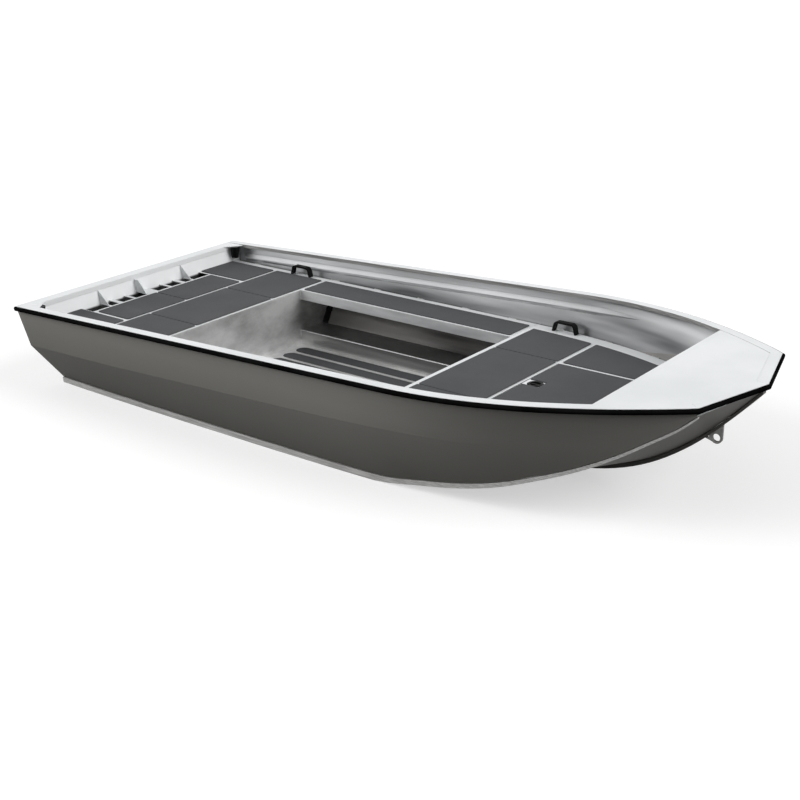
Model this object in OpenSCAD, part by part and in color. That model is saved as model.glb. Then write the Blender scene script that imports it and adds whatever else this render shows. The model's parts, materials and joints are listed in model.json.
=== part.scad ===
// Small aluminium fishing boat, open cockpit between an aft deck and a front deck.
// Millimetres. X runs from stern to bow, Y to port, Z up from the floor under the runners.

/* [Hull lines] */
// Transom top to the bow corners, along the boat
hull_len = 3302; // [3000:1:3600]
// Stem point of the bow rail ahead of the bow corners
stem_ahead = 104; // [60:1:180]
// Half breadth over the gunwales at the widest place
half_beam = 787; // [700:1:860]
// Half breadth at the chine where it is widest
chine_half = 609; // [540:1:680]
// Height of the gunwale top at the stern
stern_height = 411; // [350:1:500]
// Rise of the gunwale for each unit of length
sheer_rise = 0.0402; // [0:0.0001:0.08]
// Height of the bottom sheet over the ground
bottom_z = 28; // [20:1:40]
// Bow end of the chine below the gunwale top
chine_drop = 35.7; // [32:0.1:76]
// Top of the stem below the gunwale top
stem_drop = 22.4; // [12:0.1:60]
// Flat of the bottom past the front of the cockpit, at the chine
flat_past = 33.5; // [10:0.5:80]
// Foot of the transom ahead of its top
transom_rake_x = 88; // [40:1:120]
// Distance of the knuckle line below the gunwale
knuckle_drop = 200; // [120:1:260]
// How far the knuckle stands out of the straight side at the stern
knuckle_out = 56; // [20:1:80]

/* [Plating] */
// Thickness of hull and deck sheets
plate = 3; // [2:0.5:5]
// Gap left at welded seams between sheets
seam = 0.3; // [0.2:0.05:0.5]
// Stations drawn between two rows of the lines table
steps = 4; // [1:1:6]
// Width of the chine runners under the bottom
runner_w = 30; // [20:1:50]
// Depth of the chine runners towards the bow
runner_h = 24; // [16:1:30]
// How far the runners stand out past the chine
runner_out = 6; // [2:1:12]
// Share of the runner section that is left at the bow
runner_end = 0.45; // [0.3:0.05:1]
// Half width of the keel bar
keel_half = 14; // [8:1:25]
// Depth of the keel bar on the stem
keel_h = 20; // [12:1:28]

/* [Gunwale] */
// Width of the gunwale top flange
gunwale_w = 46; // [40:1:90]
// Depth of the gunwale outer wall
gunwale_outer = 22; // [20:1:40]
// Depth of the turned down inner lip
gunwale_lip = 18; // [10:1:30]
// Thickness of the gunwale section
gunwale_t = 4; // [3:0.5:6]
// Height of the rubber strip round the gunwale
rubber_h = 20; // [14:1:20]
// How far the rubber stands out
rubber_out = 11; // [8:1:20]
// Top of the side ledges below the gunwale
ledge_drop = 54; // [44:1:64]
// Height of the side ledges
ledge_h = 36; // [24:1:40]
// How far the side ledges stand in
ledge_in = 10; // [6:1:16]
// Side ledges end short of the bow deck by this much
ledge_short = 440; // [300:1:600]

/* [Transom] */
// Thickness of the boxed transom
transom_t = 46; // [30:1:60]
// Depth of the cap lip inside the transom
cap_lip = 24; // [15:1:40]
// Half width of the cable well behind the aft deck
well_half = 403; // [300:1:450]
// Length of the cable well from the transom to the deck edge
well_len = 74; // [50:1:120]
// Depth of the deck edge turned down along the cable well
well_edge = 30; // [15:1:50]
// Distance of the outer transom knees from the middle
knee_y = 285; // [250:1:340]
// Thickness of an outer transom knee
knee_t = 4; // [3:1:8]
// Place of the broad transom fin, to starboard of the middle
fin_y = -40; // [-90:1:-30]
// Thickness of the broad transom fin
fin_t = 8; // [4:1:14]
// Edge length of the stern corner plates along the transom
corner_plate_y = 84; // [60:1:140]
// Edge length of the stern corner plates along the gunwale
corner_plate_x = 56; // [44:1:100]
// Length of the sockets under the corner plates
socket_len = 60; // [30:1:66]
// Upper radius of the sockets
socket_r = 26; // [16:1:30]

/* [Decks] */
// Deck sheet top below the stern gunwale
deck_drop = 88; // [60:1:120]
// Front edge of the aft deck
aft_deck_x = 712; // [600:1:800]
// Length of the open cockpit
cockpit_len = 1258; // [1000:1:1400]
// Bow deck length from the bow corners aft
bow_deck_len = 344; // [250:1:450]
// Gap between deck edge and hull side
deck_gap = 25; // [15:1:40]
// Inner edge of the side benches
bench_y = 472; // [420:1:520]
// Depth of the bench edge
bench_lip = 50; // [30:1:70]
// Number of brackets along each hull side under the decks
bracket_count = 11; // [8:1:14]
// Depth of a deck bracket
bracket_h = 17; // [10:1:30]
// Length of a deck bracket out from the hull side
bracket_out = 46; // [35:1:60]
// Width of a deck bracket along the boat
bracket_w = 40; // [20:1:60]

/* [Cockpit] */
// Height of the long boxes along the cockpit sides
box_top = 112; // [80:1:150]
// Inner face of the side boxes
box_y = 467; // [420:1:520]
// Thickness of the pressed floor
floor_t = 6; // [4:0.5:10]
// Number of channels pressed in the floor
channel_count = 9; // [5:1:9]
// Distance between floor channels
channel_pitch = 100; // [90:1:102]
// Width of a floor channel
channel_w = 82; // [60:1:86]
// Depth of a floor channel
channel_h = 4; // [2:0.5:5]
// Flat margin at both ends of the floor channels
channel_end = 34; // [20:1:80]
// Gap round the tread strips in the channels
strip_gap = 1; // [0.5:0.5:4]

/* [Mats] */
// Thickness of the deck mats
mat_t = 5; // [3:1:8]
// Narrow seam between two mats
mat_seam = 8; // [4:1:14]
// Corner radius of a mat
mat_r = 9; // [2:1:20]
// Bare margin at the cockpit edges of the decks
mat_margin = 14; // [6:1:30]
// Bare strip across the aft deck
aft_strip = 22; // [16:1:70]
// Length of the aft mat row by the cockpit
aft_row = 305; // [200:1:330]
// Place of the seams in the aft row
aft_seam_y = 269; // [200:1:320]
// Place of the seams in the front row
front_seam_y = 295; // [200:1:320]
// Bare strip along the outer deck edge beside the aft and bench mats
side_strip = 46; // [30:1:60]
// Bare strip along the outer deck edge beside the front mats
front_side_strip = 80; // [50:1:100]

/* [Hatch] */
// Hatch opening ahead of the front deck edge
hatch_back = 364; // [300:1:440]
// Hatch opening behind the bow deck edge
hatch_fore = 64; // [60:1:160]
// Half width of the hatch opening
hatch_half = 284; // [200:1:300]
// Running gap round the lid
hatch_gap = 5; // [2:0.5:8]
// Depth of the drain gutter under the hatch
gutter_h = 20; // [12:1:40]
// Gutter outer wall outside the opening
gutter_out = 26; // [15:1:40]
// Gutter inner wall inside the opening
gutter_in = 14; // [10:1:20]
// Latch centre ahead of the hatch edge
latch_back = 58; // [52:1:100]
// Radius of the latch dish
latch_r = 28; // [20:1:30]
// Depth of the latch dish under the lid
latch_h = 18; // [10:1:30]
// Radius of the hinge barrel
hinge_r = 7; // [5:0.5:10]
// Radius of the hinge pin
pin_r = 3; // [2:0.5:4]
// Clearance of the hinge pin all round
pin_play = 0.3; // [0.2:0.05:0.5]
// Length of one hinge
hinge_len = 90; // [60:1:150]
// Distance of each hinge from the middle
hinge_y = 170; // [100:1:200]
// Length of a hinge leaf from the pin
leaf_len = 40; // [25:1:48]
// Thickness of a hinge leaf
leaf_t = 3; // [2:0.5:4]
// Height of the hinge barrel over the deck
hinge_lift = 1; // [0.5:0.5:4]

/* [Fittings] */
// Length of a grab handle
handle_len = 130; // [100:1:180]
// Height of a grab handle
handle_h = 50; // [34:1:70]
// Thickness of the handle strap
handle_t = 10; // [5:1:12]
// Width of the handle strap
handle_w = 30; // [16:1:36]
// Outer radius of the handle bends
handle_r = 24; // [16:1:30]
// Lean of the handle legs
handle_lean = 7; // [0:1:24]
// Place of the aft handles
aft_handle_x = 480; // [300:1:560]
// Front handles ahead of the front deck edge
front_handle_x = 104; // [60:1:200]
// Thickness of the bow eye plate
eye_t = 10; // [6:1:16]
// Place of the bow eye hole behind the bow corners
eye_back = 85; // [60:1:140]
// Distance of the bow eye hole outside the keel bar
eye_off = 24; // [18:1:40]
// Radius of the bow eye
eye_r = 25; // [22:1:32]
// Radius of the hole in the bow eye
eye_bore = 16; // [8:1:18]
// Distance of the small hole behind the eye
small_back = 36; // [32:1:50]
// Radius of the small hole
small_bore = 6; // [3:0.5:8]
// Width of the locker straps
strap_w = 33; // [20:1:50]
// Thickness of the locker straps
strap_t = 4; // [2:1:8]

/* [Hidden] */
$fn = 48;
front_deck_x = aft_deck_x + cockpit_len;
bow_deck_x = hull_len - bow_deck_len;
bow_wall_x = bow_deck_x + plate;
sheer_end = hull_len + stem_ahead;
deck_z = stern_height - deck_drop;
deck_under = deck_z - plate;
floor_in = bottom_z + plate;
rake_run = transom_rake_x / (stern_height - bottom_z);
rake_deg = atan(rake_run);
transom_x = transom_t / cos(rake_deg);
deck_face = transom_x + (stern_height - deck_under) * rake_run + 2 * seam;
well_x = deck_face + well_len;
hatch_aft = front_deck_x + hatch_back;
hatch_front = bow_deck_x - hatch_fore;
latch_x = hatch_aft + latch_back;
hinge_z = deck_z + hinge_r + hinge_lift;
bracket_low = deck_under - seam - bracket_h;
side_in = gunwale_t + seam;
chine_run = hull_len - side_in - 4 * seam - transom_rake_x;
keel_run = sheer_end - 2 * side_in - transom_rake_x;
chine_rise = gun_z(hull_len) - chine_drop - bottom_z;
stem_rise = gun_z(sheer_end) - stem_drop - bottom_z;

// Lines of the hull, one row a station, each a share of a named size: place along the boat,
// gunwale breadth, knuckle, chine breadth, chine rise and keel rise.
ALONG = 0;
BEAM = 1;
KNUCKLE = 2;
CHINE = 3;
CHINE_UP = 4;
KEEL_UP = 5;
lines = [
    [0.000, 0.953, 1.00, 0.939, 0.000, 0.000],
    [0.121, 0.962, 0.80, 0.966, 0.000, 0.000],
    [0.248, 0.971, 0.64, 0.982, 0.000, 0.000],
    [0.369, 0.980, 0.54, 0.993, 0.000, 0.000],
    [0.491, 0.989, 0.46, 1.000, 0.000, 0.000],
    [0.597, 0.997, 0.35, 0.995, 0.000, 0.000],
    [0.669, 1.000, 0.21, 0.977, 0.058, 0.000],
    [0.727, 0.984, 0.10, 0.956, 0.125, 0.000],
    [0.778, 0.943, 0.04, 0.931, 0.215, 0.018],
    [0.830, 0.877, 0.00, 0.895, 0.345, 0.110],
    [0.875, 0.797, 0.00, 0.849, 0.472, 0.251],
    [0.918, 0.705, 0.00, 0.793, 0.621, 0.452],
    [0.954, 0.614, 0.00, 0.729, 0.772, 0.673],
    [0.981, 0.539, 0.00, 0.668, 0.889, 0.861],
    [1.000, 0.480, 0.00, 0.614, 1.000, 1.000]];
rows = len(lines) - 1;
full = rows * steps;
flat_rows = 5;
split = flat_rows * steps;

// Smooth curve through the rows that never swings past them
function row(i) = lines[max(0, min(rows, i))];
function rise(a, b) = a * b <= 0 ? 0 : sign(a) * min(abs(a + b) / 2, 3 * abs(a), 3 * abs(b));
function tangent(i) =
    i <= 0 ? row(1) - row(0) :
    i >= rows ? row(rows) - row(rows - 1) :
    [for (c = [ALONG : KEEL_UP]) rise(row(i)[c] - row(i - 1)[c], row(i + 1)[c] - row(i)[c])];
function blend(i, t) =
    (2 * t ^ 3 - 3 * t ^ 2 + 1) * row(i) + (t ^ 3 - 2 * t ^ 2 + t) * tangent(i)
    + (3 * t ^ 2 - 2 * t ^ 3) * row(i + 1) + (t ^ 3 - t ^ 2) * tangent(i + 1);
function station(k) = k >= full ? row(rows) : blend(floor(k / steps), (k % steps) / steps);

// Rows up to the end of the flat bottom stretch with the cockpit, the others with the bow
flat_share = (front_deck_x + flat_past - transom_rake_x) / chine_run;
flat_row = lines[flat_rows][ALONG];
function place(s) = s <= flat_row ? s * flat_share / flat_row
    : 1 - (1 - s) * (1 - flat_share) / (1 - flat_row);
function placed_row(s) = [place(s[ALONG]), s[BEAM], s[KNUCKLE], s[CHINE], s[CHINE_UP], s[KEEL_UP]];

// Stations that stand too near the bow corner for the mitre of the rails are skipped
shares = [for (k = [0 : full]) if (k <= full - steps / 2 || k == full) placed_row(station(k))];
last = len(shares) - 1;

// Gunwale line in plan, closed by the stem point, and its outward directions
function gun_z(x) = stern_height + sheer_rise * x;
sheer = concat([for (s = shares) [s[ALONG] * hull_len, s[BEAM] * half_beam]], [[sheer_end, 0]]);
stern_half = sheer[0][1];
function outward(a, b) = let (u = (b - a) / norm(b - a)) [-u[1], u[0]];
function mitre(a, b) = (a + b) / (1 + a * b);
front_out = outward(sheer[last], sheer[last + 1]);
function out_dir(k) =
    k == 0 ? [0, 1] :
    k > last ? [1 / front_out[0], 0] :
    k == last ? mitre(outward(sheer[last - 1], sheer[last]), front_out) :
    mitre(outward(sheer[k - 1], sheer[k]), outward(sheer[k], sheer[k + 1]));
outs = [for (k = [0 : last + 1]) out_dir(k)];
mid_x = (sheer_end + rubber_out * outs[last + 1][0]) / 2;

// Corners of section k, moved in by d from the outer surface
function inward(k, d) = [-outs[k][0] * d, -outs[k][1] * d, 0];
function gun_pt(k) = [sheer[k][0], sheer[k][1], gun_z(sheer[k][0])];
function top_pt(k, d) = gun_pt(k) + inward(k, side_in + d) - [0, 0, gunwale_t + seam];
function low_pt(k, d) =
    [transom_rake_x + shares[k][ALONG] * chine_run,
     shares[k][CHINE] * chine_half, bottom_z + shares[k][CHINE_UP] * chine_rise + d]
    + inward(k, 1.2 * d);
function keel_pt(k, d) =
    [transom_rake_x + shares[k][ALONG] * keel_run, 0, bottom_z + shares[k][KEEL_UP] * stem_rise + 1.05 * d];
function knuckle_pt(k, d) =
    let (a = top_pt(k, d), b = low_pt(k, d), f = min(0.5, knuckle_drop / (a[2] - b[2])))
    a * (1 - f) + b * f - inward(k, shares[k][KNUCKLE] * knuckle_out);

// Inner half breadth of the hull at height z and place x
function on_line(a, b, z) = a + (b - a) * (z - a[2]) / (b[2] - a[2]);
function at_height(k, z) =
    let (a = top_pt(k, plate), b = knuckle_pt(k, plate), c = low_pt(k, plate), e = keel_pt(k, plate),
         p = z >= b[2] ? on_line(b, a, z) : z >= c[2] ? on_line(c, b, z) : on_line(e, c, z))
    [p[0], p[1]];
function keel_z(x, d) = lookup(x, [for (k = [0 : last]) [keel_pt(k, d)[0], keel_pt(k, d)[2]]]);
function keel_x(z, d) =
    lookup(z, [for (k = [split : last]) [keel_pt(k, d)[2] + 0.001 * k, keel_pt(k, d)[0]]]);
function under(k, z) = keel_pt(k, plate)[2] < z - 1;
function inside_y(x, z) = lookup(x, concat(
    [for (k = [0 : last]) if (under(k, z)) at_height(k, z)],
    under(last, z) ? [] : [[keel_x(z, plate), 0]]));

// Half breadth for a cross sheet that starts at x, free of the hull by the given room
function sheet_y(x, z, room) = min(inside_y(x, z - room), inside_y(x + plate, z - room)) - room;
function deck_edge(x) = inside_y(x, deck_under) - deck_gap;
function spread(a, b, n) = [for (i = [0 : n]) a + (b - a) * i / n];
function back_over(list) = [for (i = [len(list) - 1 : -1 : 0]) [list[i][0], -list[i][1]]];
function flipped(list) = [for (i = [len(list) - 1 : -1 : 0]) [-list[i][0], list[i][1]]];

// Solid between rings of equal length; the second half of a ring runs back along the inner face
module shell(rings) {
    n = len(rings[0]);
    m = len(rings) - 1;
    points = [for (r = rings) each r];
    walls = [for (i = [0 : m - 1]) for (j = [0 : n - 1])
        each [[i * n + j, i * n + (j + 1) % n, (i + 1) * n + (j + 1) % n],
              [i * n + j, (i + 1) * n + (j + 1) % n, (i + 1) * n + j]]];
    ends = [for (j = [0 : n / 2 - 2]) let (b = m * n) each [
        [n - 1 - j, n - 2 - j, j], [n - 2 - j, j + 1, j],
        [b + j, b + j + 1, b + n - 2 - j], [b + j, b + n - 2 - j, b + n - 1 - j]]];
    polyhedron(points, concat(walls, ends), convexity = 10);
}

// Shifts the lines so that the middle of the length lies over the origin
module placed() {
    translate([-mid_x, 0, 0]) children();
}

module starboard() {
    mirror([0, 1, 0]) children();
}

module both_sides() {
    children();
    starboard() children();
}

// Upright sheet across the boat at place x from a half outline of breadths and heights
module cross_sheet(x, half, t) {
    translate([x, 0, 0]) rotate([90, 0, 90]) linear_extrude(t) polygon(concat(half, flipped(half)));
}

// Part to build, or all

sheet_col = [0.80, 0.81, 0.82];
hull_col = [0.45, 0.44, 0.42];
white_col = [0.92, 0.92, 0.93];
mat_col = [0.33, 0.34, 0.35];
black_col = [0.06, 0.06, 0.06];

// Flat bottom sheet from the transom to where the bow begins to lift
module hull_bottom() {
    edge = 1.2 * plate + seam;
    port = [for (k = [0 : split]) let (p = low_pt(k, 0) + inward(k, edge)) [p[0], p[1]]];
    nose = [keel_pt(split, 0)[0] - seam, 0];
    color(hull_col) placed() translate([0, 0, bottom_z]) linear_extrude(plate)
        polygon(concat(port, [nose], back_over(port)));
}

// Half of the bow bottom, a sheet that twists from flat to a steep vee
module bow_sheet() {
    joint = [seam, seam / 2, 0];
    rings = [for (k = [split : last])
        let (c = low_pt(k, 0), e = keel_pt(k, 0) + joint,
             ci = low_pt(k, plate), ei = keel_pt(k, plate) + joint)
        [c, (c + e) / 2, e, ei, (ci + ei) / 2, ci]];
    placed() shell(rings);
}

module bow_sheet_port() {
    color(hull_col) bow_sheet();
}

module bow_sheet_starboard() {
    color(hull_col) starboard() bow_sheet();
}

// Lower side panel between chine and knuckle
module side_lower() {
    lift = [0, 0, seam];
    drop = 2.5 * lift;
    placed() shell([for (k = [0 : last])
        [knuckle_pt(k, 0) - drop, low_pt(k, 0) + lift,
         low_pt(k, plate) + lift, knuckle_pt(k, plate) - drop]]);
}

module side_lower_port() {
    color(hull_col) side_lower();
}

module side_lower_starboard() {
    color(hull_col) starboard() side_lower();
}

// Upper side panel from the knuckle up into the gunwale channel
module side_upper() {
    placed() shell([for (k = [0 : last])
        [top_pt(k, 0), knuckle_pt(k, 0), knuckle_pt(k, plate), top_pt(k, plate)]]);
}

module side_upper_port() {
    color(hull_col) side_upper();
}

module side_upper_starboard() {
    color(hull_col) starboard() side_upper();
}

// Runner under the chine, the strip on which the boat stands
module chine_runner() {
    gap = 2 * seam;
    rings = [for (k = [0 : last])
        let (c = low_pt(k, 0), e = keel_pt(k, 0), f = 1 - (1 - runner_end) * shares[k][CHINE_UP],
             inner = c + (e - c) * f * runner_w / c[1],
             drop = f * min(bottom_z, runner_h + max(0, bottom_z - runner_h - (c[2] - bottom_z))))
        [c - inward(k, runner_out) - [0, 0, gap], c - inward(k, runner_out - 2) - [0, 0, drop],
         [inner[0], inner[1], c[2] - drop], [inner[0], inner[1], inner[2] - gap]]];
    placed() shell(rings);
}

module chine_runner_port() {
    color(hull_col) chine_runner();
}

module chine_runner_starboard() {
    color(hull_col) starboard() chine_runner();
}

// Keel bar along the middle, turning up the stem
function keel_drop(k) =
    let (up = keel_pt(k, 0)[2] - bottom_z)
    min(bottom_z, keel_h + max(0, bottom_z - keel_h - up));
function keel_side(k) =
    let (e = keel_pt(k, 0), c = low_pt(k, 0))
    e + (c - e) * keel_half / c[1];

module keel_strip() {
    gap = 2 * seam;
    rings = [for (k = [0 : last])
        let (side = keel_side(k), top = min(keel_z(side[0], 0), side[2]) - gap,
             low = keel_pt(k, 0)[2] - keel_drop(k))
        [[side[0], keel_half, top], [side[0], -keel_half, top],
         [side[0], -keel_half, low], [side[0], keel_half, low]]];
    color(hull_col) placed() shell(rings);
}

// Boxed transom, leaning aft, notched for the gunwale lips
module transom() {
    inset = plate + 2 * seam;
    half = [for (p = [top_pt(0, inset), knuckle_pt(0, inset), low_pt(0, inset)])
        [p[1] - seam, (p[2] - stern_height) / cos(rake_deg)]];
    lip_y = stern_half - gunwale_w - 2 * seam;
    color(white_col) placed() difference() {
        translate([0, 0, stern_height]) rotate([0, -rake_deg, 0]) rotate([90, 0, 90])
            linear_extrude(transom_t) polygon(concat(half, flipped(half)));
        translate([-transom_t, -half_beam, stern_height - gunwale_t - seam])
            cube([4 * transom_t, 2 * half_beam, 2 * transom_t]);
        translate([-transom_t, -half_beam, floor_in + seam - transom_t])
            cube([6 * transom_t, 2 * half_beam, transom_t]);
        both_sides() translate([-transom_t, lip_y, stern_height - gunwale_lip - 2 * seam])
            cube([4 * transom_t, gunwale_t + 2, gunwale_lip + transom_t]);
    }
}

// Folded cap over the transom edge between the two gunwales
cap_half = stern_half - gunwale_w - 2 * seam;
cap_front = transom_x + cap_lip * rake_run + gunwale_t;
module transom_cap() {
    z = stern_height;
    color(white_col) placed() translate([0, cap_half, 0]) rotate([90, 0, 0]) linear_extrude(2 * cap_half)
        polygon([[0, z], [gunwale_t * rake_run, z - gunwale_t],
            [transom_x + gunwale_t * rake_run + seam, z - gunwale_t],
            [transom_x + cap_lip * rake_run + seam, z - cap_lip], [cap_front, z - cap_lip], [cap_front, z]]);
}

// Plates that prop the transom from the aft deck: place, thickness, depth at the head and at the foot
KNEE_Y = 0;
KNEE_T = 1;
KNEE_HEAD = 2;
KNEE_FOOT = 3;
knees = [
    [-knee_y, knee_t, 4, well_len - 14],
    [fin_y, fin_t, 32, well_len - 4],
    [knee_y, knee_t, 4, well_len - 14]];
function transom_face(z) = transom_x + (stern_height - z) * rake_run + 2 * seam;
module transom_knees() {
    top = stern_height - cap_lip - 2;
    low = deck_z + seam;
    a = transom_face(top);
    b = transom_face(low);
    color(white_col) placed() for (n = knees)
        translate([0, n[KNEE_Y] + n[KNEE_T] / 2, 0]) rotate([90, 0, 0]) linear_extrude(n[KNEE_T])
        polygon([[a, top], [b, low], [b + n[KNEE_FOOT], low], [a + n[KNEE_HEAD], top]]);
}

// Sections swept along the gunwale line, each point an outward and an upward offset;
// the stern ends are cut to the lean of the transom
gunwale_profile = [[0, -gunwale_outer], [0, 0], [-gunwale_w, 0], [-gunwale_w, -gunwale_lip],
    [-gunwale_w + gunwale_t, -gunwale_lip], [-gunwale_w + gunwale_t, -gunwale_t],
    [-gunwale_t, -gunwale_t], [-gunwale_t, -gunwale_outer]];
rubber_mid = rubber_h / 2 - gunwale_outer;
rubber_half = [[0.6, 0.93], [0.92, 0.6], [1, 0.08]];
rubber_profile = concat([[seam, rubber_mid + rubber_h / 2]],
    [for (q = rubber_half) [q[0] * rubber_out, rubber_mid + q[1] * rubber_h / 2]],
    [for (i = [2 : -1 : 0]) let (q = rubber_half[i]) [q[0] * rubber_out, rubber_mid - q[1] * rubber_h / 2]],
    [[seam, rubber_mid - rubber_h / 2]]);
function stern_cut(k, z) = k == 0 ? -z * rake_run : 0;
function swept(k, profile) =
    [for (q = profile) gun_pt(k) + [outs[k][0] * q[0] + stern_cut(k, q[1]), outs[k][1] * q[0], q[1]]];
function stem_ring(profile) =
    [for (q = profile) [sheer_end + outs[last + 1][0] * q[0], 0, gun_z(sheer_end) + q[1]]];

module rail_side(profile) {
    placed() shell([for (k = [last : -1 : 0]) swept(k, profile)]);
}

module rail_bow(profile) {
    port = swept(last, profile);
    other = [for (p = port) [p[0], -p[1], p[2]]];
    placed() shell([other, stem_ring(profile), port]);
}

module gunwale_port() {
    color(white_col) rail_side(gunwale_profile);
}

module gunwale_starboard() {
    color(white_col) starboard() rail_side(gunwale_profile);
}

module bow_rail() {
    color(white_col) rail_bow(gunwale_profile);
}

module rubber_port() {
    color(black_col) rail_side(rubber_profile);
}

module rubber_starboard() {
    color(black_col) starboard() rail_side(rubber_profile);
}

module rubber_bow() {
    color(black_col) rail_bow(rubber_profile);
}

// Three sided plates that tie the gunwales to the transom cap
plate_x = cap_front + seam;
module corner_plate() {
    placed() translate([0, 0, stern_height - gunwale_t]) linear_extrude(gunwale_t)
        polygon([[plate_x, cap_half], [plate_x + corner_plate_x, cap_half],
            [plate_x, cap_half - corner_plate_y]]);
}

module corner_plates() {
    color(white_col) both_sides() corner_plate();
}

// Black tapered sockets hanging under the corner plates
module corner_sockets() {
    z = stern_height - gunwale_t - seam - socket_len;
    foot_r = 0.72 * socket_r;
    x = max(plate_x + socket_r, transom_face(z) + foot_r + 2 * seam);
    color(black_col) placed() both_sides()
        translate([x, cap_half - socket_r - gunwale_t, z])
        cylinder(h = socket_len, r1 = foot_r, r2 = socket_r);
}

// Pressed ledge along the inside of the hull, below the gunwale
module side_ledge() {
    end = bow_deck_x - ledge_short;
    used = [for (k = [0 : last]) if (sheer[k][0] > plate_x && sheer[k][0] < end) k];
    fade = used[len(used) - 1];
    gap = 2 * seam;
    profile = [[0, 0], [1, 0], [0.62, ledge_in], [0.5, ledge_in]];
    placed() shell([for (k = used) [for (q = profile)
        let (z = gun_z(sheer[k][0]) - ledge_drop - q[0] * ledge_h, p = at_height(k, z),
             f = k == fade ? 0.15 : 1)
        [p[0], p[1], z] + inward(k, gap + f * q[1])]]);
}

module side_ledges() {
    color(sheet_col) both_sides() side_ledge();
}

// Brackets welded to the hull side, on which the decks and benches rest
module deck_brackets() {
    xs = spread(well_x + bracket_w, bow_deck_x - 2 * bracket_w, bracket_count - 1);
    color(sheet_col) placed() both_sides() for (x = xs) {
        a = inside_y(x, bracket_low) - 3 * seam;
        b = inside_y(x + bracket_w, bracket_low) - 3 * seam;
        translate([0, 0, bracket_low]) linear_extrude(bracket_h)
            polygon([[x, a], [x + bracket_w, b], [x + bracket_w, b - bracket_out], [x, a - bracket_out]]);
    }
}

// Deck sheet in plan between two cross edges
module deck_plan(a, b) {
    port = [for (x = spread(a, b, 24)) [x, deck_edge(x)]];
    polygon(concat(port, back_over(port)));
}

// Slots of the cable well on each side of the middle; the knees stand on the tabs between them
SLOT_FROM = 0;
SLOT_TO = 1;
well_slots = [
    [36, 116],
    [133, 205],
    [knee_y - 53, knee_y - 6],
    [knee_y + 6, well_half]];

// Aft deck with the slots of the cable well cut out and an edge turned down along them
module aft_deck() {
    color(sheet_col) placed() {
        translate([0, 0, deck_under]) linear_extrude(plate) difference() {
            deck_plan(deck_face, aft_deck_x);
            for (s = well_slots) both_sides() translate([0, s[SLOT_FROM]])
                square([well_x, s[SLOT_TO] - s[SLOT_FROM]]);
        }
        translate([well_x, -well_half, deck_under - well_edge]) cube([plate, 2 * well_half, well_edge]);
    }
}

// Half outline of a bulkhead that stands on the bottom and carries the deck
function bulkhead_half(x) =
    let (wall = [for (z = spread(floor_in + 2 * plate, deck_under, 9)) [sheet_y(x, z, 3 * seam), z]])
    concat([[wall[0][0] - 2 * plate, floor_in + seam]], wall);

module aft_bulkhead() {
    x = aft_deck_x - plate;
    color(sheet_col) placed() cross_sheet(x, bulkhead_half(x), plate);
}

module front_bulkhead() {
    color(sheet_col) placed() cross_sheet(front_deck_x, bulkhead_half(front_deck_x), plate);
}

// Bench sheet along the cockpit over a separate edge strip
module bench() {
    a = aft_deck_x + seam;
    b = front_deck_x - seam;
    outer = [for (x = spread(a, b, 16)) [x, deck_edge(x)]];
    placed() {
        translate([0, 0, deck_under]) linear_extrude(plate)
            polygon(concat(outer, [[b, bench_y], [a, bench_y]]));
        translate([a, bench_y, deck_z - bench_lip]) cube([b - a, plate, bench_lip - plate - seam]);
    }
}

module bench_port() {
    color(sheet_col) bench();
}

module bench_starboard() {
    color(sheet_col) starboard() bench();
}

// Long low box between the cockpit floor and the hull side: a riser and a top
module side_box() {
    a = aft_deck_x + seam;
    b = front_deck_x - seam;
    low = box_top - plate;
    outer = [for (x = spread(a, b, 16)) [x, inside_y(x, low) - 3 * seam]];
    placed() {
        translate([0, 0, low]) linear_extrude(plate) polygon(concat(outer, [[b, box_y], [a, box_y]]));
        translate([a, box_y, floor_in + seam]) cube([b - a, plate, low - floor_in - 2 * seam]);
    }
}

module side_box_port() {
    color(sheet_col) side_box();
}

module side_box_starboard() {
    color(sheet_col) starboard() side_box();
}

// Outlines of the long floor channels, round at both ends
module channels(r) {
    a = aft_deck_x + seam + channel_end + channel_w / 2;
    b = front_deck_x - seam - channel_end - channel_w / 2;
    for (i = [0 : channel_count - 1]) {
        y = (i - (channel_count - 1) / 2) * channel_pitch;
        translate([a, y - r]) square([b - a, 2 * r]);
        for (x = [a, b]) translate([x, y]) circle(r = r);
    }
}

// Cockpit floor with pressed channels
channel_z = floor_in + seam + floor_t - channel_h;
module floor_plate() {
    a = aft_deck_x + seam;
    b = front_deck_x - seam;
    color(sheet_col) placed() difference() {
        translate([a, -box_y + seam, floor_in + seam]) cube([b - a, 2 * (box_y - seam), floor_t]);
        translate([0, 0, channel_z]) linear_extrude(floor_t) channels(channel_w / 2);
    }
}

// Dark tread strips laid in the floor channels
module floor_mats() {
    color(mat_col) placed() translate([0, 0, channel_z]) linear_extrude(channel_h - strip_gap)
        channels(channel_w / 2 - strip_gap);
}

// Front deck with the hatch opening
module hatch_plan(d) {
    translate([hatch_aft - d, -hatch_half - d])
        square([hatch_front - hatch_aft + 2 * d, 2 * (hatch_half + d)]);
}

module front_deck() {
    color(sheet_col) placed() translate([0, 0, deck_under]) linear_extrude(plate) difference() {
        deck_plan(front_deck_x, bow_wall_x - seam);
        hatch_plan(0);
    }
}

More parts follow.
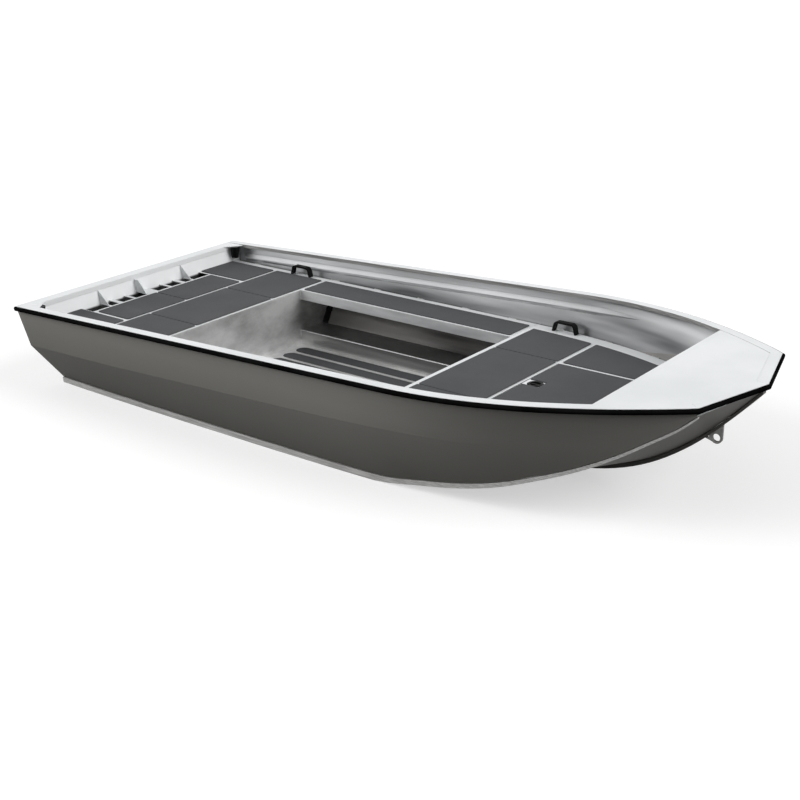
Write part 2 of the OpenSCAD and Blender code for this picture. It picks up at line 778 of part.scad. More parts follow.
// Sheet at gunwale level between the rails of the bow
module bow_deck() {
    inner = [[-gunwale_w - 2 * seam, 0]];
    line = concat([for (k = [0 : last]) swept(k, inner)[0]], [stem_ring(inner)[0]]);
    first = lookup(bow_deck_x, [for (p = line) [p[0], p[1]]]);
    port = concat([[bow_deck_x, first]], [for (p = line) if (p[0] > bow_deck_x + 5) [p[0], p[1]]]);
    tilt = atan(sheer_rise);
    color(white_col) placed() translate([bow_deck_x, 0, gun_z(bow_deck_x) - gunwale_t])
        rotate([0, -tilt, 0]) translate([-bow_deck_x, 0, 0]) linear_extrude(gunwale_t)
        polygon(concat(port, back_over([for (i = [0 : len(port) - 2]) port[i]])));
}

// Sheet under the aft edge of the bow deck, from the keel up, closing the bow
module bow_bulkhead() {
    x = bow_wall_x;
    high = gun_z(x) - gunwale_lip - 2 * plate;
    rail_y = lookup(x, [for (p = sheer) [p[0], p[1]]]) - 1.4 * gunwale_w;
    zs = spread(keel_z(x + plate, plate) + 10, high, 14);
    wall = [for (z = zs) [sheet_y(x, z, 5 * seam), z]];
    color(sheet_col) placed()
        cross_sheet(x, concat(wall, [[rail_y, high], [rail_y, gun_z(x) - gunwale_t - seam]]), plate);
}

// Rectangular mat with round corners between two opposite corners
module mat(x0, y0, x1, y1) {
    translate([0, 0, deck_z]) linear_extrude(mat_t) union() {
        translate([x0 + mat_r, y0]) square([x1 - x0 - 2 * mat_r, y1 - y0]);
        translate([x0, y0 + mat_r]) square([x1 - x0, y1 - y0 - 2 * mat_r]);
        for (x = [x0 + mat_r, x1 - mat_r], y = [y0 + mat_r, y1 - mat_r])
            translate([x, y]) circle(r = mat_r);
    }
}

// Mat from y0 out to the bare strip along the deck edge, with cut corners
module edge_mat(x0, x1, y0, strip) {
    c = mat_r / 2;
    outer = [for (x = spread(x0 + c, x1 - c, 10)) [x, deck_edge(x) - strip]];
    translate([0, 0, deck_z]) linear_extrude(mat_t) polygon(concat(
        [[x0 + c, y0], [x0, y0 + c], [x0, outer[0][1] - c]], outer,
        [[x1, outer[10][1] - c], [x1, y0 + c], [x1 - c, y0]]));
}

aft_row_x = aft_deck_x - mat_margin - aft_row;

// Aft deck mats: a row of three by the cockpit, an outer and a middle pair behind it
module aft_mats() {
    s = mat_seam / 2;
    back = aft_row_x - aft_strip;
    color(mat_col) placed() {
        mat(aft_row_x, -aft_seam_y + s, aft_deck_x - mat_margin, aft_seam_y - s);
        both_sides() mat(well_x + 8 * plate, s, back, well_half - 10);
        both_sides() edge_mat(aft_row_x, aft_deck_x - mat_margin, aft_seam_y + s, side_strip);
        both_sides() edge_mat(deck_face + 2 * plate, back, well_half + 14, side_strip);
    }
}

module bench_mats() {
    color(mat_col) placed() both_sides()
        edge_mat(aft_deck_x + mat_margin, front_deck_x - mat_margin, bench_y + 10, side_strip);
}

// Front deck mats: a row of three by the cockpit, one on each side of the hatch
module front_mats() {
    s = mat_seam / 2;
    a = front_deck_x + 2 * mat_margin;
    b = hatch_aft - mat_margin;
    color(mat_col) placed() {
        mat(a, -front_seam_y + s, b, front_seam_y - s);
        both_sides() edge_mat(a, b, front_seam_y + s, front_side_strip);
        both_sides() edge_mat(hatch_aft + mat_margin, bow_deck_x - 2 * mat_margin,
            hatch_half + mat_margin, front_side_strip);
    }
}

// Drain gutter under the hatch opening; the lid lies on its inner wall
module hatch_frame() {
    z = deck_under - gutter_h;
    color(sheet_col) placed() {
        translate([0, 0, z]) linear_extrude(plate) difference() {
            hatch_plan(gutter_out);
            hatch_plan(-gutter_in - plate);
        }
        translate([0, 0, z]) linear_extrude(gutter_h) difference() {
            hatch_plan(gutter_out);
            hatch_plan(gutter_out - plate);
        }
        translate([0, 0, z]) linear_extrude(gutter_h - seam) difference() {
            hatch_plan(-gutter_in);
            hatch_plan(-gutter_in - plate);
        }
    }
}

// Lid sheet with a round cut-out for the latch
module hatch_lid() {
    color(sheet_col) placed() difference() {
        translate([0, 0, deck_under]) linear_extrude(plate) hatch_plan(-hatch_gap);
        translate([latch_x, 0, deck_under - 1]) cylinder(h = plate + 2, r = latch_r + seam);
    }
}

// Mat on the lid, cut back round the latch and the hinges
module hatch_mat() {
    half = hatch_half - hatch_gap - 6;
    open = latch_r + 8;
    color(mat_col) placed() difference() {
        mat(hatch_aft + hatch_gap + 8, -half, hatch_front - leaf_len - mat_margin, half);
        translate([hatch_aft, -open, deck_z - 1]) cube([latch_back + open, 2 * open, mat_t + 2]);
    }
}

// Flush latch with a grip bar in a round dish
module hatch_latch() {
    top = latch_h + plate + seam;
    color(black_col) placed() translate([latch_x, 0, deck_under - latch_h]) {
        difference() {
            union() {
                cylinder(h = top, r = latch_r);
                translate([0, 0, top]) cylinder(h = 3, r = latch_r + 4);
            }
            translate([0, 0, top - 10]) cylinder(h = 20, r = latch_r - 5);
        }
        translate([-latch_r + 4, -4, top - 11]) cube([2 * latch_r - 8, 8, 12]);
    }
}

// Part of a hinge barrel between two places along its pin
module barrel(a, b) {
    rotate([-90, 0, 0]) translate([0, 0, a]) cylinder(h = b - a, r = hinge_r);
}

third = hinge_len / 3;
module at_hinges() {
    placed() for (y = [-hinge_y, hinge_y]) translate([hatch_front, y, hinge_z]) children();
}

// Hinge halves on the front deck, each with the pin held in its two barrels
module hinge_fixed() {
    low = deck_z - hinge_z;
    half = hinge_len / 2;
    color(sheet_col) at_hinges() {
        barrel(-half, -third / 2);
        barrel(third / 2, half);
        rotate([-90, 0, 0]) translate([0, 0, -third / 2]) cylinder(h = third, r = pin_r);
        translate([hinge_r + 3, -half, low]) cube([leaf_len - hinge_r - 3, hinge_len, leaf_t]);
        for (y = [-half, third / 2]) translate([2, y, low]) cube([hinge_r + 4, third, leaf_t]);
    }
}

// Hinge halves on the lid, turning on the pins
module hinge_leaf() {
    low = deck_z - hinge_z;
    w = third / 2 - pin_play - 0.2;
    color(sheet_col) at_hinges() difference() {
        union() {
            barrel(-w, w);
            translate([-leaf_len, -hinge_len / 2, low]) cube([leaf_len - hinge_r - 3, hinge_len, leaf_t]);
            translate([-hinge_r - 6, -w, low]) cube([hinge_r + 4, 2 * w, leaf_t]);
        }
        rotate([-90, 0, 0]) translate([0, 0, -w - 1]) cylinder(h = 2 * w + 2, r = pin_r + pin_play);
    }
}

// Arch with leaning legs and round bends: base inset b, bend radius r; the straight runs
// lie a hair inside the bends
bend_r = min(handle_r, handle_h / 2 - 1);
hair = 0.1;
module arch(b, r) {
    c = [handle_lean + bend_r, handle_h - bend_r];
    v = c - [b, 0];
    near = r - hair;
    lean = atan2(v[1], v[0]) + asin(near / norm(v));
    q = [b, 0] + sqrt(v * v - near * near) * [cos(lean), sin(lean)];
    w = handle_len;
    polygon([[b, 0], q, c, [c[0], c[1] + near],
        [w - c[0], c[1] + near], [w - c[0], c[1]], [w - q[0], q[1]], [w - b, 0]]);
    for (x = [c[0], w - c[0]]) translate([x, c[1]]) circle(r = r);
}

// Strap handles standing on the bare outer edge of the decks
module grab_handles() {
    color(black_col) placed() both_sides() for (x = [aft_handle_x, front_deck_x + front_handle_x]) {
        y = deck_edge(x + handle_len / 2) - (side_strip - handle_w) / 2;
        translate([x, y, deck_z + seam]) rotate([90, 0, 0]) linear_extrude(handle_w) difference() {
            arch(0, bend_r);
            translate([0, -0.01]) arch(handle_t, bend_r - handle_t);
        }
    }
}

// Eye plate welded under the stem with its bore across the boat
eye_x = hull_len - eye_back;
stem_line = [for (k = [split : last]) [keel_side(k)[0], keel_pt(k, 0)[2] - keel_drop(k)]];
stem_z = lookup(eye_x, stem_line);
stem_deg = atan2(lookup(eye_x + eye_r, stem_line) - lookup(eye_x - eye_r, stem_line), 2 * eye_r);
eye_z = stem_z - eye_off / cos(stem_deg);
module bow_eye() {
    line = [for (p = stem_line) p - [0, seam]];
    high = 2 * stern_height;
    inside_stem = concat(line, [[line[len(line) - 1][0], high], [line[0][0], high]]);
    small_r = small_bore + 7;
    color(sheet_col) placed() translate([0, eye_t / 2, 0]) rotate([90, 0, 0]) linear_extrude(eye_t)
        difference() {
            translate([eye_x, eye_z]) union() {
                circle(r = eye_r);
                translate([-small_back, 0]) circle(r = small_r);
                polygon([[-small_back, -small_r], [0, -eye_r], [eye_r, 0], [eye_r, 3 * eye_r],
                    [-small_back - small_r, 3 * eye_r], [-small_back - small_r, 0]]);
            }
            polygon(inside_stem);
            translate([eye_x, eye_z]) circle(r = eye_bore);
            translate([eye_x - small_back, eye_z]) circle(r = small_bore);
        }
}

// Black straps in the side lockers, lying on the sloping hull side
module locker_straps() {
    x = aft_deck_x + 4;
    back = [for (z = spread(box_top + seam, bracket_low - 4, 8)) [sheet_y(x, z, 3 * seam), z]];
    front = [for (i = [len(back) - 1 : -1 : 0]) back[i] - [strap_t, 0]];
    color(black_col) placed() both_sides() translate([x, 0, 0]) rotate([90, 0, 90])
        linear_extrude(strap_w) polygon(concat(back, front));
}

hull_bottom();
bow_sheet_port();
bow_sheet_starboard();
side_lower_port();
side_lower_starboard();
side_upper_port();
side_upper_starboard();
chine_runner_port();
chine_runner_starboard();
keel_strip();
transom();
transom_cap();
transom_knees();
gunwale_port();
gunwale_starboard();
bow_rail();
rubber_port();
rubber_starboard();
rubber_bow();
corner_plates();
corner_sockets();
side_ledges();
deck_brackets();
aft_deck();
aft_bulkhead();
bench_port();
bench_starboard();
side_box_port();
side_box_starboard();
floor_plate();
floor_mats();
front_deck();
front_bulkhead();
bow_deck();
bow_bulkhead();
aft_mats();
bench_mats();
front_mats();
hatch_frame();
hatch_lid();
hatch_mat();
hatch_latch();
hinge_fixed();
hinge_leaf();
grab_handles();
bow_eye();
locker_straps();
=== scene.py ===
import json
import math

import bpy
from mathutils import Matrix, Vector


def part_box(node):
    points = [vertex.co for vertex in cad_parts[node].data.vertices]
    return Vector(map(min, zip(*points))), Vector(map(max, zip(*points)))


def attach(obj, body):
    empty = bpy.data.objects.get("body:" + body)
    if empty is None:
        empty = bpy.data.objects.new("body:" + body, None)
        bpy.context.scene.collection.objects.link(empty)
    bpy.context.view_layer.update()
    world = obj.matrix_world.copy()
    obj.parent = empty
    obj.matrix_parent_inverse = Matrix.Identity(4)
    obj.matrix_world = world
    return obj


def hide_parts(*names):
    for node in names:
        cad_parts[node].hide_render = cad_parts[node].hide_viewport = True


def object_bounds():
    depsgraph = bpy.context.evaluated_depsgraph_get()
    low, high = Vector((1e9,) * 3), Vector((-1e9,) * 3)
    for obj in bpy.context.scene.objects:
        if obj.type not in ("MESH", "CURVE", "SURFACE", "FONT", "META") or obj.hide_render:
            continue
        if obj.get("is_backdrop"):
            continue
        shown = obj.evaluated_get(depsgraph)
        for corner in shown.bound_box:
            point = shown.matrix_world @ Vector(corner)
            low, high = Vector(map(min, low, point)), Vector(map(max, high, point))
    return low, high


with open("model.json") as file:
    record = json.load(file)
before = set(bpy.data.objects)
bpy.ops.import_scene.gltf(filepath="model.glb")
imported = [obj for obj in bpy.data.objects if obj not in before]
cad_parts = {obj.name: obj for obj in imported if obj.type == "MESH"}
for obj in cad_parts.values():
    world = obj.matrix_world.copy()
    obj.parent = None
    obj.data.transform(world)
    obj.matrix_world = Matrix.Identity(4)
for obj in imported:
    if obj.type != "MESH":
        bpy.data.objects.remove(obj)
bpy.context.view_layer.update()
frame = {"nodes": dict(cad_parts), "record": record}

nodes = frame["nodes"]

# Hull plating: the flat bottom sheet, two twisted bow sheets and the folded side panels.
# Three millimetre aluminium sheet, bent and welded, sprayed satin grey outside, with painted shade
# darkening it towards the bottom.
# The inside is left as rolled sheet with cloudy stains mixed with painted reflections, darker low down with
# painted shade in the lockers.

MERGE_GAP = 0.00002
OUTER_TURN = -0.2


def only(obj):
    bpy.ops.object.select_all(action="DESELECT")
    obj.select_set(True)
    bpy.context.view_layer.objects.active = obj


def soften(name, bevel, angle=32):
    obj = nodes[name]
    only(obj)
    bpy.ops.mesh.customdata_custom_splitnormals_clear()
    bpy.ops.object.shade_smooth()
    weld = obj.modifiers.new("weld", "WELD")
    weld.merge_threshold = MERGE_GAP
    if bevel:
        edge = obj.modifiers.new("edge", "BEVEL")
        edge.width = bevel
        edge.segments = 2
        edge.limit_method = "ANGLE"
        edge.angle_limit = math.radians(angle)
        edge.harden_normals = True
    else:
        split = obj.modifiers.new("split", "EDGE_SPLIT")
        split.split_angle = math.radians(angle)
    return obj


def noise(tree, coords, stretch, scale, detail=3.0, rough=0.55, shift=0.0):
    mapping = tree.nodes.new("ShaderNodeMapping")
    mapping.inputs["Location"].default_value = (shift, 0, 0)
    mapping.inputs["Scale"].default_value = stretch
    tex = tree.nodes.new("ShaderNodeTexNoise")
    tex.inputs["Scale"].default_value = scale
    tex.inputs["Detail"].default_value = detail
    tex.inputs["Roughness"].default_value = rough
    tree.links.new(coords, mapping.inputs["Vector"])
    tree.links.new(mapping.outputs["Vector"], tex.inputs["Vector"])
    return tex.outputs["Fac"]


def ramp(tree, source, low, high, a=0.35, b=0.65):
    node = tree.nodes.new("ShaderNodeValToRGB")
    node.color_ramp.elements[0].position = a
    node.color_ramp.elements[0].color = (*low, 1)
    node.color_ramp.elements[1].position = b
    node.color_ramp.elements[1].color = (*high, 1)
    tree.links.new(source, node.inputs["Fac"])
    return node.outputs["Color"]


def spread(tree, source, low, high, a=0.3, b=0.7):
    node = tree.nodes.new("ShaderNodeMapRange")
    node.inputs["From Min"].default_value = a
    node.inputs["From Max"].default_value = b
    node.inputs["To Min"].default_value = low
    node.inputs["To Max"].default_value = high
    tree.links.new(source, node.inputs["Value"])
    return node.outputs["Result"]


def bump(tree, source, depth, below=None):
    node = tree.nodes.new("ShaderNodeBump")
    node.inputs["Distance"].default_value = depth
    node.inputs["Strength"].default_value = 1.0
    tree.links.new(source, node.inputs["Height"])
    if below:
        tree.links.new(below, node.inputs["Normal"])
    return node.outputs["Normal"]


def material(name, metallic=0.0, specular=0.5):
    mat = bpy.data.materials.new(name)
    mat.use_nodes = True
    tree = mat.node_tree
    shader = tree.nodes["Principled BSDF"]
    shader.inputs["Metallic"].default_value = metallic
    shader.inputs["Specular IOR Level"].default_value = specular
    coords = tree.nodes.new("ShaderNodeTexCoord").outputs["Object"]
    return mat, tree, shader, coords


def dress(name, *mats):
    slots = nodes[name].data.materials
    slots.clear()
    for mat in mats:
        slots.append(mat)


def height(tree, coords, low, high, cloud, wobble):
    """Nought at the low mark and one at the high mark, its edge broken up by a cloud."""
    split = tree.nodes.new("ShaderNodeSeparateXYZ")
    tree.links.new(coords, split.inputs["Vector"])
    drift = tree.nodes.new("ShaderNodeMath")
    drift.operation = "MULTIPLY_ADD"
    drift.inputs[1].default_value = wobble
    tree.links.new(cloud, drift.inputs[0])
    tree.links.new(split.outputs["Z"], drift.inputs[2])
    return spread(tree, drift.outputs["Value"], 0.0, 1.0, low + 0.5 * wobble, high + 0.5 * wobble)


# Painted shade: the hull paint darkens towards the bottom, fully below the low mark and not at all above
# the high mark.
LOW_SHADE_FULL_TO = 0.03
LOW_SHADE_CLEAR_FROM = 0.36
LOW_SHADE_WOBBLE = 0.10

hull_paint, tree, shader, coords = material("hull_paint", 0.0, 0.03)
cloud = noise(tree, coords, (1, 1, 1), 1.6)
grain = noise(tree, coords, (1, 1, 1), 900, 2.0)
low_shade = height(tree, coords, LOW_SHADE_FULL_TO, LOW_SHADE_CLEAR_FROM, cloud, LOW_SHADE_WOBBLE)
tint = ramp(tree, low_shade, (0.120, 0.118, 0.109), (0.232, 0.227, 0.213), 0.0, 1.0)
tree.links.new(tint, shader.inputs["Base Color"])
tree.links.new(spread(tree, cloud, 0.42, 0.54), shader.inputs["Roughness"])
wave = bump(tree, cloud, 0.004)
tree.links.new(bump(tree, grain, 0.00003, wave), shader.inputs["Normal"])

# The inner sheet's cloudy tone, stretched along the hull, is partly real staining and partly painted
# reflection.
STAIN_AND_REFLECTION_STRETCH = (0.6, 1.0, 5.5)
STAIN_AND_REFLECTION_SHIFT = 0.5
STAIN_AND_REFLECTION_DARK = (0.115, 0.118, 0.121)
STAIN_AND_REFLECTION_PALE = (0.72, 0.73, 0.74)
# Painted shade: the lower panels' inner faces, which line the lockers under the benches, take a much darker
# copy of the inner sheet.
LOCKER_SHIFT = 1.0
LOCKER_SHADE_DARK = (0.030, 0.029, 0.028)
LOCKER_SHADE_PALE = (0.34, 0.332, 0.320)


def rolled_skin(name, dark, pale, shift):
    mat, tree, shader, coords = material(name, 0.8, 0.4)
    cloud = noise(tree, coords, STAIN_AND_REFLECTION_STRETCH, 1.5, 2.5, 0.5, shift)
    streak = noise(tree, coords, (3, 260, 260), 1.0, 4.0, 0.6)
    tree.links.new(ramp(tree, cloud, dark, pale, 0.32, 0.70), shader.inputs["Base Color"])
    tree.links.new(spread(tree, cloud, 0.28, 0.38), shader.inputs["Roughness"])
    wave = bump(tree, cloud, 0.006)
    tree.links.new(bump(tree, streak, 0.00005, wave), shader.inputs["Normal"])
    return mat


inner_skin = rolled_skin("inner_skin", STAIN_AND_REFLECTION_DARK, STAIN_AND_REFLECTION_PALE, STAIN_AND_REFLECTION_SHIFT)
locker_shade_skin = rolled_skin("locker_shade_skin", LOCKER_SHADE_DARK, LOCKER_SHADE_PALE, LOCKER_SHIFT)

PORT_PANELS = ("bow_sheet_port", "side_lower_port", "side_upper_port")
STARBOARD_PANELS = ("bow_sheet_starboard", "side_lower_starboard", "side_upper_starboard")
for name in ("hull_bottom", *PORT_PANELS, *STARBOARD_PANELS):
    obj = soften(name, 0)
    # The lower panels' inner faces get the darker locker sheet, painted shade.
    dress(name, hull_paint, locker_shade_skin if "lower" in name else inner_skin)
    side = Vector((0, 0, -1))
    if name in PORT_PANELS:
        side = Vector((0, 1, -1 if "bow" in name else -0.3))
    elif name in STARBOARD_PANELS:
        side = Vector((0, -1, -1 if "bow" in name else -0.3))
    for face in obj.data.polygons:
        face.material_index = 0 if face.normal.dot(side) > OUTER_TURN else 1

# Knuckle folds: the bend where the upper side panel turns into the lower one. The real sheet
# runs on through it, so a narrow strip closes the seam between the two panels.

FOLD_DROP = 0.00076
FOLD_FACING = -0.85


def knuckle_fold(name, panel):
    fold = bpy.data.objects.new(name, nodes[panel].data.copy())
    bpy.context.collection.objects.link(fold)
    only(fold)
    bpy.ops.object.mode_set(mode="EDIT")
    bpy.ops.mesh.select_mode(type="FACE")
    bpy.ops.mesh.select_all(action="SELECT")
    bpy.ops.mesh.remove_doubles(threshold=MERGE_GAP)
    bpy.ops.mesh.select_all(action="DESELECT")
    bpy.ops.object.mode_set(mode="OBJECT")
    for face in fold.data.polygons:
        face.select = face.normal.z > FOLD_FACING
    bpy.ops.object.mode_set(mode="EDIT")
    bpy.ops.mesh.delete(type="FACE")
    bpy.ops.mesh.select_all(action="SELECT")
    bpy.ops.mesh.extrude_region_move(TRANSFORM_OT_translate={"value": (0, 0, -FOLD_DROP)})
    bpy.ops.mesh.select_all(action="SELECT")
    bpy.ops.mesh.normals_make_consistent(inside=False)
    bpy.ops.object.mode_set(mode="OBJECT")
    bpy.ops.mesh.customdata_custom_splitnormals_clear()
    fold.data.materials.clear()
    fold.data.materials.append(hull_paint)
    fold.data.materials.append(inner_skin)
    outer = 1 if panel in PORT_PANELS else -1
    for face in fold.data.polygons:
        face.material_index = 0 if face.normal.y * outer > OUTER_TURN else 1
    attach(fold, "hull")


knuckle_fold("knuckle_fold_port", "side_upper_port")
knuckle_fold("knuckle_fold_starboard", "side_upper_starboard")

# Runners and keel bar: pressed strips welded outside the chines and along the middle, on which
# the boat slides and stands. The runners' lighter coat is scuffed, the keel bar is sprayed grey.

chine_paint, tree, shader, coords = material("chine_paint", 0.4, 0.35)
cloud = noise(tree, coords, (2, 20, 20), 2.0)
scuff = noise(tree, coords, (6, 220, 220), 1.0, 4.0, 0.65)
tint = ramp(tree, scuff, (0.30, 0.298, 0.29), (0.50, 0.497, 0.49), 0.40, 0.66)
tree.links.new(tint, shader.inputs["Base Color"])
tree.links.new(spread(tree, cloud, 0.34, 0.48), shader.inputs["Roughness"])
tree.links.new(bump(tree, scuff, 0.00006), shader.inputs["Normal"])

STRIP_EDGE = 0.001

for name in ("chine_runner_port", "chine_runner_starboard"):
    soften(name, STRIP_EDGE)
    dress(name, chine_paint)
soften("keel_strip", STRIP_EDGE)
dress("keel_strip", hull_paint)

# Transom, its folded cap, the knees and the corner plates: boxed sheet, welded and powder
# coated white with the gunwales. The transom's outer face is sprayed with the hull. Its inner
# face and the cap's forward lip get a brighter white, a painted highlight, and below the deck
# line the inner face turns black, painted shade for the closed bay under the aft deck.

white_coat, tree, shader, coords = material("white_coat", 0.1, 0.4)
cloud = noise(tree, coords, (1, 1, 1), 2.6)
grain = noise(tree, coords, (1, 1, 1), 800, 2.0)
tree.links.new(ramp(tree, cloud, (0.685, 0.705, 0.715), (0.765, 0.780, 0.790)), shader.inputs["Base Color"])
tree.links.new(spread(tree, cloud, 0.36, 0.48), shader.inputs["Roughness"])
wave = bump(tree, cloud, 0.003)
tree.links.new(bump(tree, grain, 0.00003, wave), shader.inputs["Normal"])

PLATE_EDGE = 0.0008
FACING = 0.5

for name in ("transom_cap", "transom_knees", "corner_plates"):
    soften(name, PLATE_EDGE)
    dress(name, white_coat)

DECK_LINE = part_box("aft_deck")[1][2]
# Painted shade: below these marks the transom's inner face turns black, for the shaded bay under the aft
# deck.
WELL_SHADE_TOP = DECK_LINE - 0.012
WELL_SHADE_CLEAR_FROM = DECK_LINE - 0.004
WELL_SHADE_WOBBLE = 0.002

# Painted light: a brighter white than the other coat, a painted highlight, over black below the deck line,
# painted shade.
transom_highlight_and_shade, tree, shader, coords = material("transom_highlight_and_shade", 0.1, 0.35)
cloud = noise(tree, coords, (1, 1.5, 1), 3.0)
grain = noise(tree, coords, (1, 1, 1), 800, 2.0)
edge = height(tree, coords, WELL_SHADE_TOP, WELL_SHADE_CLEAR_FROM, cloud, WELL_SHADE_WOBBLE)
tint = ramp(tree, edge, (0.012, 0.012, 0.013), (0.890, 0.900, 0.905), 0.0, 1.0)
tree.links.new(tint, shader.inputs["Base Color"])
tree.links.new(spread(tree, cloud, 0.36, 0.48), shader.inputs["Roughness"])
wave = bump(tree, cloud, 0.003)
tree.links.new(bump(tree, grain, 0.00003, wave), shader.inputs["Normal"])

transom = soften("transom", PLATE_EDGE)
dress("transom", transom_highlight_and_shade, hull_paint)
for face in transom.data.polygons:
    face.material_index = 1 if face.normal.x < -FACING else 0
# The cap's forward lip takes the brighter transom white, a painted highlight.
dress("transom_cap", white_coat, transom_highlight_and_shade)
for face in nodes["transom_cap"].data.polygons:
    face.material_index = 1 if face.normal.x > FACING else 0

# Gunwales, bow rail and bow deck: channel rails swept round the sheer and mitred at the bow
# corners, with a flat sheet let in between them. The gunwales' inner lips stay bare metal.

rail_lip, tree, shader, coords = material("rail_lip", 0.6, 0.4)
streak = noise(tree, coords, (2.2, 60, 200), 1.0, 4.0, 0.6)
tree.links.new(ramp(tree, streak, (0.24, 0.238, 0.232), (0.44, 0.438, 0.43)), shader.inputs["Base Color"])
tree.links.new(spread(tree, streak, 0.34, 0.46), shader.inputs["Roughness"])
tree.links.new(bump(tree, streak, 0.00005), shader.inputs["Normal"])

for name in ("gunwale_port", "gunwale_starboard", "bow_rail", "bow_deck"):
    soften(name, PLATE_EDGE)
    dress(name, white_coat)
for name, inboard in (("gunwale_port", -1), ("gunwale_starboard", 1)):
    dress(name, white_coat, rail_lip)
    for face in nodes[name].data.polygons:
        face.material_index = 1 if face.normal.y * inboard > FACING else 0

# Bow deck seam: weld metal run into the joint between the bow deck and the rails, ground
# nearly flush before coating, so that only a faint line is left.

SEAM_GROW = 1.006
SEAM_LOW = 0.0004

seam = bpy.data.objects.new("bow_deck_seam", nodes["bow_deck"].data.copy())
bpy.context.collection.objects.link(seam)
only(seam)
low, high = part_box("bow_deck")
bpy.ops.object.mode_set(mode="EDIT")
bpy.ops.mesh.select_all(action="SELECT")
bpy.ops.mesh.remove_doubles(threshold=MERGE_GAP)
bpy.ops.transform.resize(value=(SEAM_GROW, SEAM_GROW, 1.0), center_override=(low[0], 0, high[2]))
bpy.ops.transform.translate(value=(0, 0, -SEAM_LOW))
bpy.ops.object.mode_set(mode="OBJECT")
bpy.ops.mesh.customdata_custom_splitnormals_clear()
bpy.ops.object.shade_flat()
seam.data.materials.clear()
seam.data.materials.append(white_coat)
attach(seam, "hull")

# Weld beads: rows of drops left by the torch along the rail mitres, the corner plates, the feet
# of the knees and the transom's outer edge. They are ground back a little and coated over.

STERN_BEAD = 0.007
RAIL_BEAD = 0.005
FOOT_BEAD = 0.004
DROP_SHAPE = (0.8, 1, 0.45)
DROP_CUT = 0.06
DROP_PITCH = 0.4
NEAR = 0.0005


def weld_bead(name, start, end, width, finish, up=(0, 0, 1)):
    start = Vector(start)
    run = Vector(end) - start
    pitch = DROP_PITCH * width
    bpy.ops.object.select_all(action="DESELECT")
    bpy.ops.mesh.primitive_uv_sphere_add(segments=12, ring_count=8, radius=width / 2)
    bead = bpy.context.object
    bead.name = name
    bpy.ops.object.mode_set(mode="EDIT")
    bpy.ops.mesh.select_all(action="SELECT")
    bpy.ops.transform.resize(value=DROP_SHAPE)
    bpy.ops.mesh.bisect(plane_co=(0, 0, -DROP_CUT * width), plane_no=(0, 0, -1),
                        clear_outer=True, use_fill=True)
    bpy.ops.object.mode_set(mode="OBJECT")
    row = bead.modifiers.new("row", "ARRAY")
    row.count = max(2, round(run.length / pitch))
    row.use_relative_offset = False
    row.use_constant_offset = True
    row.constant_offset_displace = (run.length / row.count, 0, 0)
    bpy.ops.object.modifier_apply(modifier="row")
    along = run.normalized()
    across = Vector(up).cross(along).normalized()
    turn = Matrix((along, across, along.cross(across))).transposed()
    bead.matrix_world = Matrix.Translation(start) @ turn.to_4x4()
    bpy.ops.object.transform_apply(location=True, rotation=True, scale=True)
    bpy.ops.object.shade_smooth_by_angle(angle=math.radians(50))
    bead.data.materials.append(finish)
    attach(bead, "hull")


rail = [vertex.co for vertex in nodes["bow_rail"].data.vertices]
corner = max(rail, key=lambda co: (round(co.y, 4), co.z))
inner = min(rail, key=lambda co: (round(co.x, 4), -co.y, -co.z))
stem = max(rail, key=lambda co: (round(co.x, 4), co.z))
notch = min((co for co in rail if abs(co.y) < NEAR), key=lambda co: (round(co.x, 4), -co.z))
for name, side in (("rail_weld_port", 1), ("rail_weld_starboard", -1)):
    weld_bead(name, (corner.x, side * corner.y, corner.z), (inner.x, side * inner.y, corner.z),
              RAIL_BEAD, white_coat)
weld_bead("rail_weld_stem", (stem.x, 0, stem.z), (notch.x, 0, stem.z),
          RAIL_BEAD, white_coat)

low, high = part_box("corner_plates")
plates = [vertex.co for vertex in nodes["corner_plates"].data.vertices]
plate_in = min(co.y for co in plates if co.y > 0)
for name, side in (("corner_weld_port", 1), ("corner_weld_starboard", -1)):
    weld_bead(name + "_cap", (low[0], side * plate_in, high[2]), (low[0], side * high[1], high[2]),
              FOOT_BEAD, white_coat)
    weld_bead(name + "_rail", (low[0], side * high[1], high[2]), (high[0], side * high[1], high[2]),
              FOOT_BEAD, white_coat)

low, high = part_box("transom_knees")
knees = [vertex.co for vertex in nodes["transom_knees"].data.vertices]
feet = [co for co in knees if co.z < low[2] + NEAR]
for count, y in enumerate(sorted({round(co.y, 4) for co in feet})):
    xs = [co.x for co in feet if abs(co.y - y) < NEAR]
    weld_bead(f"knee_weld_{count}", (min(xs), y, low[2]), (max(xs), y, low[2]),
              FOOT_BEAD, white_coat)

BEND_CLEAR = 0.05

back_faces = [face for face in transom.data.polygons if face.normal.x < -FACING]
outer = [transom.data.vertices[i].co for face in back_faces for i in face.vertices]
heel = min(outer, key=lambda co: (round(co.z, 4), -co.y))
top = max(outer, key=lambda co: (round(co.y, 4), co.z))
between = [co for co in outer if heel.z + BEND_CLEAR < co.z < top.z - BEND_CLEAR]
bend = max(between, key=lambda co: co.y)
weld_bead("transom_weld_bottom", (heel.x, -heel.y, heel.z), heel, STERN_BEAD, hull_paint,
          (-1, 0, -0.6))
for side_name, side in (("port", 1), ("starboard", -1)):
    start, middle, end = (Vector((co.x, side * co.y, co.z)) for co in (heel, bend, top))
    weld_bead("transom_weld_low_" + side_name, start, middle, STERN_BEAD, hull_paint,
              (-1, 0.5 * side, -0.5))
    weld_bead("transom_weld_high_" + side_name, middle, end, STERN_BEAD, hull_paint,
              (-1, 0.5 * side, -0.3))

# Rubber strip round the gunwales: extruded black rubber pressed on the outer wall.
# Matt, with a fine grain and a little dust, cut square at the stern.

